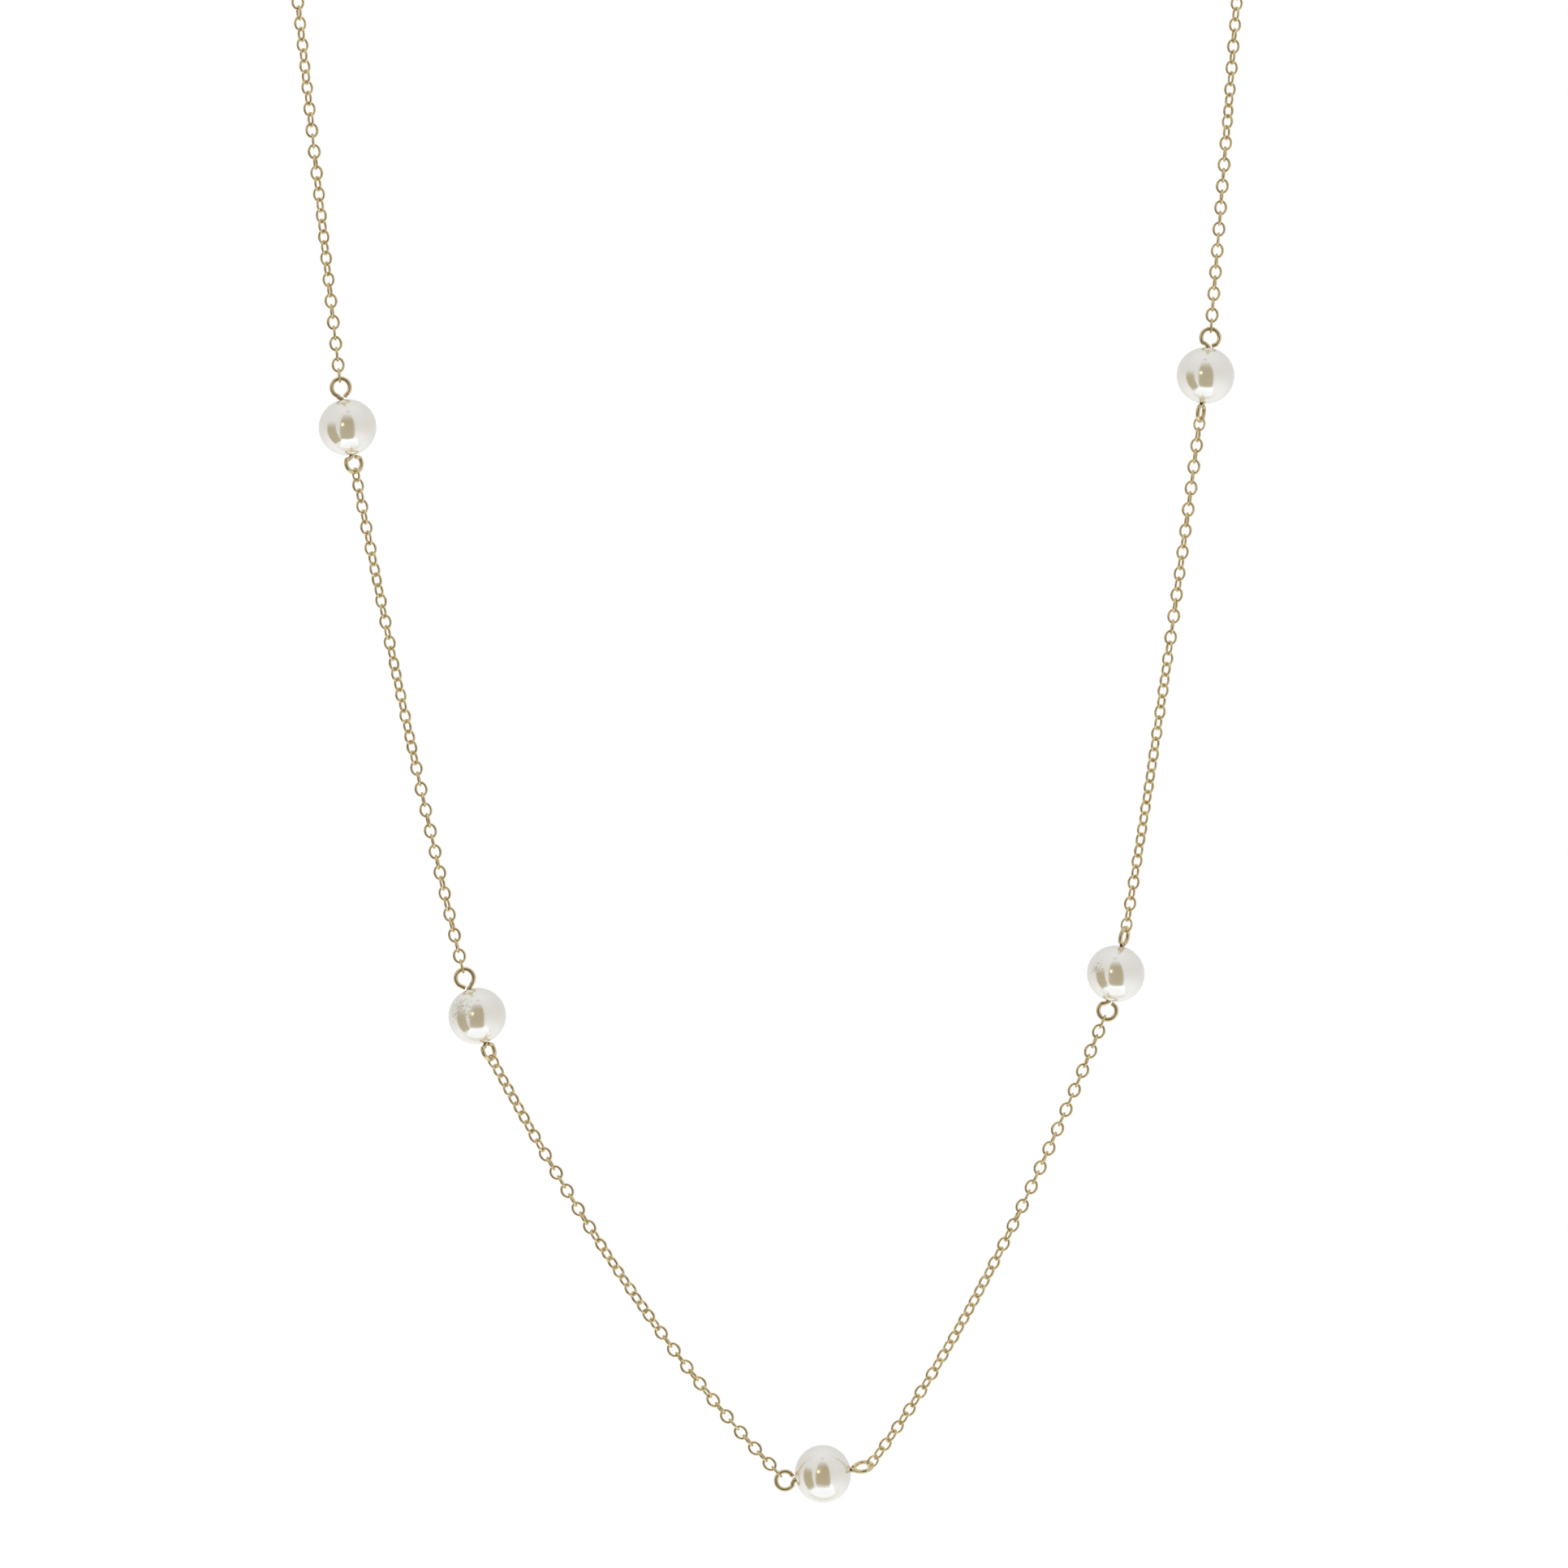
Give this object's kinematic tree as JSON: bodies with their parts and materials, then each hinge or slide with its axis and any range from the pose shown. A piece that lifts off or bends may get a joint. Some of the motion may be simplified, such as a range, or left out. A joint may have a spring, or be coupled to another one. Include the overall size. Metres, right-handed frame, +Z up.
{
  "type": "pearl necklace",
  "caption": "Fine gold-tone cable chain necklace with spaced ivory imitation pearls on looped pins, a lobster clasp and a short extension chain.",
  "frame": {"origin": "midway between the two points where the sides of the neck carry the chain", "axes": "+Z up, +X to the right as seen from the front, +Y from the front of the necklace towards the nape"},
  "size_m": [0.105, 0.0533, 0.198],
  "materials": {
    "pearl": "ivory-white pearl lustre over a smooth bead",
    "pin_wire": "polished gold plate, slightly worn",
    "chain": "polished pale gold plate",
    "clasp_metal": "polished pale gold plate",
    "spring_steel": "drawn spring wire"
  },
  "bodies": {
    "neck": {"left_neck_strand_1": "chain", "left_neck_strand_2": "chain", "left_neck_strand_3": "chain", "left_neck_first_link": "chain", "left_end_link": "chain", "right_neck_strand_1": "chain", "right_neck_strand_2": "chain", "right_neck_strand_3": "chain", "right_neck_first_link": "chain", "right_end_link": "chain", "clasp_jump_ring": "clasp_metal", "extension_jump_ring": "clasp_metal"},
    "left_shoulder_chain": {"left_shoulder_first_link": "chain", "left_shoulder_strand": "chain", "left_shoulder_last_link": "chain"},
    "left_middle_chain": {"left_middle_first_link": "chain", "left_middle_strand": "chain", "left_middle_last_link": "chain"},
    "left_bottom_chain": {"left_bottom_first_link": "chain", "left_bottom_strand": "chain", "left_bottom_last_link": "chain"},
    "right_shoulder_chain": {"right_shoulder_first_link": "chain", "right_shoulder_strand": "chain", "right_shoulder_last_link": "chain"},
    "right_middle_chain": {"right_middle_first_link": "chain", "right_middle_strand": "chain", "right_middle_last_link": "chain"},
    "right_bottom_chain": {"right_bottom_first_link": "chain", "right_bottom_strand": "chain", "right_bottom_last_link": "chain"},
    "left_upper_pin": {"left_upper_pin": "pin_wire"},
    "left_upper_pearl": {"left_upper_pearl": "pearl"},
    "left_lower_pin": {"left_lower_pin": "pin_wire"},
    "left_lower_pearl": {"left_lower_pearl": "pearl"},
    "bottom_pin": {"bottom_pin": "pin_wire"},
    "bottom_pearl": {"bottom_pearl": "pearl"},
    "right_lower_pin": {"right_lower_pin": "pin_wire"},
    "right_lower_pearl": {"right_lower_pearl": "pearl"},
    "right_upper_pin": {"right_upper_pin": "pin_wire"},
    "right_upper_pearl": {"right_upper_pearl": "pearl"},
    "clasp": {"clasp_body": "clasp_metal", "clasp_rivet": "clasp_metal", "clasp_spring": "spring_steel"},
    "clasp_lever": {"clasp_lever": "clasp_metal"},
    "extension_link_1": {"extension_link_1": "clasp_metal"},
    "extension_link_2": {"extension_link_2": "clasp_metal"},
    "extension_link_3": {"extension_link_3": "clasp_metal"},
    "extension_link_4": {"extension_link_4": "clasp_metal"},
    "extension_link_5": {"extension_link_5": "clasp_metal"},
    "extension_link_6": {"extension_link_6": "clasp_metal"},
    "extension_link_7": {"extension_link_7": "clasp_metal"},
    "extension_link_8": {"extension_link_8": "clasp_metal"},
    "extension_link_9": {"extension_link_9": "clasp_metal"},
    "end_ring": {"end_ring": "clasp_metal"},
    "end_tag": {"end_tag": "clasp_metal"}
  },
  "joints": [
    {"name": "left_shoulder_swing", "type": "hinge", "parent": "neck", "child": "left_shoulder_chain", "pos_m": [-0.0504, 0, 0], "axis": [1, 0, 0], "range_deg": [-40, 40]},
    {"name": "right_shoulder_swing", "type": "hinge", "parent": "neck", "child": "right_shoulder_chain", "pos_m": [0.0504, 0, 0], "axis": [1, 0, 0], "range_deg": [-40, 40]},
    {"name": "left_upper_pin_swing", "type": "hinge", "parent": "left_shoulder_chain", "child": "left_upper_pin", "pos_m": [-0.04427, 0, -0.05543], "axis": [0.9984, 0, 0.057], "range_deg": [-30, 30]},
    {"name": "right_upper_pin_swing", "type": "hinge", "parent": "right_shoulder_chain", "child": "right_upper_pin", "pos_m": [0.04647, 0, -0.05024], "axis": [0.9984, 0, 0.057], "range_deg": [-30, 30]},
    {"name": "left_middle_swing", "type": "hinge", "parent": "left_upper_pin", "child": "left_middle_chain", "pos_m": [-0.04263, 0.00001, -0.06517], "axis": [0.9979, -0.0001, 0.0647], "range_deg": [-30, 30]},
    {"name": "right_middle_swing", "type": "hinge", "parent": "right_upper_pin", "child": "right_middle_chain", "pos_m": [0.04535, 0, -0.05947], "axis": [0.9979, -0.0001, 0.0647], "range_deg": [-30, 30]},
    {"name": "left_lower_pin_swing", "type": "hinge", "parent": "left_middle_chain", "child": "left_lower_pin", "pos_m": [-0.03146, 0, -0.11694], "axis": [0.9984, -0.0003, 0.0568], "range_deg": [-30, 30]},
    {"name": "right_lower_pin_swing", "type": "hinge", "parent": "right_middle_chain", "child": "right_lower_pin", "pos_m": [0.03756, -0.00002, -0.11301], "axis": [0.9984, -0.0003, 0.0568], "range_deg": [-30, 30]},
    {"name": "left_bottom_swing", "type": "hinge", "parent": "left_lower_pin", "child": "left_bottom_chain", "pos_m": [-0.0286, 0.00008, -0.12594], "axis": [0.9982, -0.0013, 0.0596], "range_deg": [-30, 30]},
    {"name": "right_bottom_swing", "type": "hinge", "parent": "right_lower_pin", "child": "right_bottom_chain", "pos_m": [0.03531, 0, -0.12212], "axis": [0.9982, -0.0013, 0.0596], "range_deg": [-30, 30]},
    {"name": "bottom_pin_roll", "type": "hinge", "parent": "left_bottom_chain", "child": "bottom_pin", "pos_m": [0.00147, 0, -0.1695], "axis": [0.9965, 0.0338, 0.0758], "range_deg": [-30, 30]},
    {"name": "left_upper_pearl_spin", "type": "hinge", "parent": "left_upper_pin", "child": "left_upper_pearl", "pos_m": [-0.04345, 0, -0.0605], "axis": [0.1702, 0, -0.9854], "continuous": true},
    {"name": "left_lower_pearl_spin", "type": "hinge", "parent": "left_lower_pin", "child": "left_lower_pearl", "pos_m": [-0.02995, 0, -0.1218], "axis": [0.3123, 0, -0.95], "continuous": true},
    {"name": "bottom_pearl_spin", "type": "hinge", "parent": "bottom_pin", "child": "bottom_pearl", "pos_m": [0.00605, 0, -0.1695], "axis": [0.9851, 0, 0.1719], "continuous": true},
    {"name": "right_lower_pearl_spin", "type": "hinge", "parent": "right_lower_pin", "child": "right_lower_pearl", "pos_m": [0.03655, 0, -0.1174], "axis": [-0.2215, 0, -0.9751], "continuous": true},
    {"name": "right_upper_pearl_spin", "type": "hinge", "parent": "right_upper_pin", "child": "right_upper_pearl", "pos_m": [0.0459, 0, -0.0551], "axis": [-0.1253, 0, -0.9921], "continuous": true},
    {"name": "clasp_roll", "type": "hinge", "parent": "neck", "child": "clasp", "pos_m": [-0.0043, 0.0462, 0.0226], "axis": [1, 0, 0], "range_deg": [-25, 25]},
    {"name": "clasp_lever_press", "type": "hinge", "parent": "clasp", "child": "clasp_lever", "pos_m": [-0.0016, 0.0462, 0.0235], "axis": [0, 1, 0], "range_deg": [0, 20], "stiffness_Nm_per_rad": 0.0002, "springref_deg": -10},
    {"name": "extension_1_swing", "type": "hinge", "parent": "neck", "child": "extension_link_1", "pos_m": [0.00515, 0.04845, 0.0226], "axis": [1, 0, 0], "range_deg": [-20, 20]},
    {"name": "extension_2_swing", "type": "hinge", "parent": "extension_link_1", "child": "extension_link_2", "pos_m": [0.00515, 0.04845, 0.02036], "axis": [0, 1, 0], "range_deg": [-20, 20]},
    {"name": "extension_3_swing", "type": "hinge", "parent": "extension_link_2", "child": "extension_link_3", "pos_m": [0.00515, 0.04845, 0.01809], "axis": [1, 0, 0], "range_deg": [-20, 20]},
    {"name": "extension_4_swing", "type": "hinge", "parent": "extension_link_3", "child": "extension_link_4", "pos_m": [0.00515, 0.04845, 0.01581], "axis": [0, 1, 0], "range_deg": [-20, 20]},
    {"name": "extension_5_swing", "type": "hinge", "parent": "extension_link_4", "child": "extension_link_5", "pos_m": [0.00515, 0.04845, 0.01354], "axis": [1, 0, 0], "range_deg": [-20, 20]},
    {"name": "extension_6_swing", "type": "hinge", "parent": "extension_link_5", "child": "extension_link_6", "pos_m": [0.00515, 0.04845, 0.01128], "axis": [0, 1, 0], "range_deg": [-20, 20]},
    {"name": "extension_7_swing", "type": "hinge", "parent": "extension_link_6", "child": "extension_link_7", "pos_m": [0.00515, 0.04845, 0.00901], "axis": [1, 0, 0], "range_deg": [-20, 20]},
    {"name": "extension_8_swing", "type": "hinge", "parent": "extension_link_7", "child": "extension_link_8", "pos_m": [0.00515, 0.04845, 0.00673], "axis": [0, 1, 0], "range_deg": [-20, 20]},
    {"name": "extension_9_swing", "type": "hinge", "parent": "extension_link_8", "child": "extension_link_9", "pos_m": [0.00515, 0.04845, 0.00447], "axis": [1, 0, 0], "range_deg": [-20, 20]},
    {"name": "end_ring_swing", "type": "hinge", "parent": "extension_link_9", "child": "end_ring", "pos_m": [0.00515, 0.04845, 0.00219], "axis": [0, 1, 0], "range_deg": [-20, 20]},
    {"name": "end_tag_swing", "type": "hinge", "parent": "end_ring", "child": "end_tag", "pos_m": [0.00515, 0.04845, 0.00055], "axis": [1, 0, 0], "range_deg": [-20, 20]}
  ],
  "couplings": [
    {"joint": "right_shoulder_swing", "follows": "left_shoulder_swing", "ratio": 1},
    {"joint": "right_upper_pin_swing", "follows": "left_upper_pin_swing", "ratio": 1},
    {"joint": "right_middle_swing", "follows": "left_middle_swing", "ratio": 1},
    {"joint": "right_lower_pin_swing", "follows": "left_lower_pin_swing", "ratio": 1},
    {"joint": "right_bottom_swing", "follows": "left_bottom_swing", "ratio": 1}
  ]
}
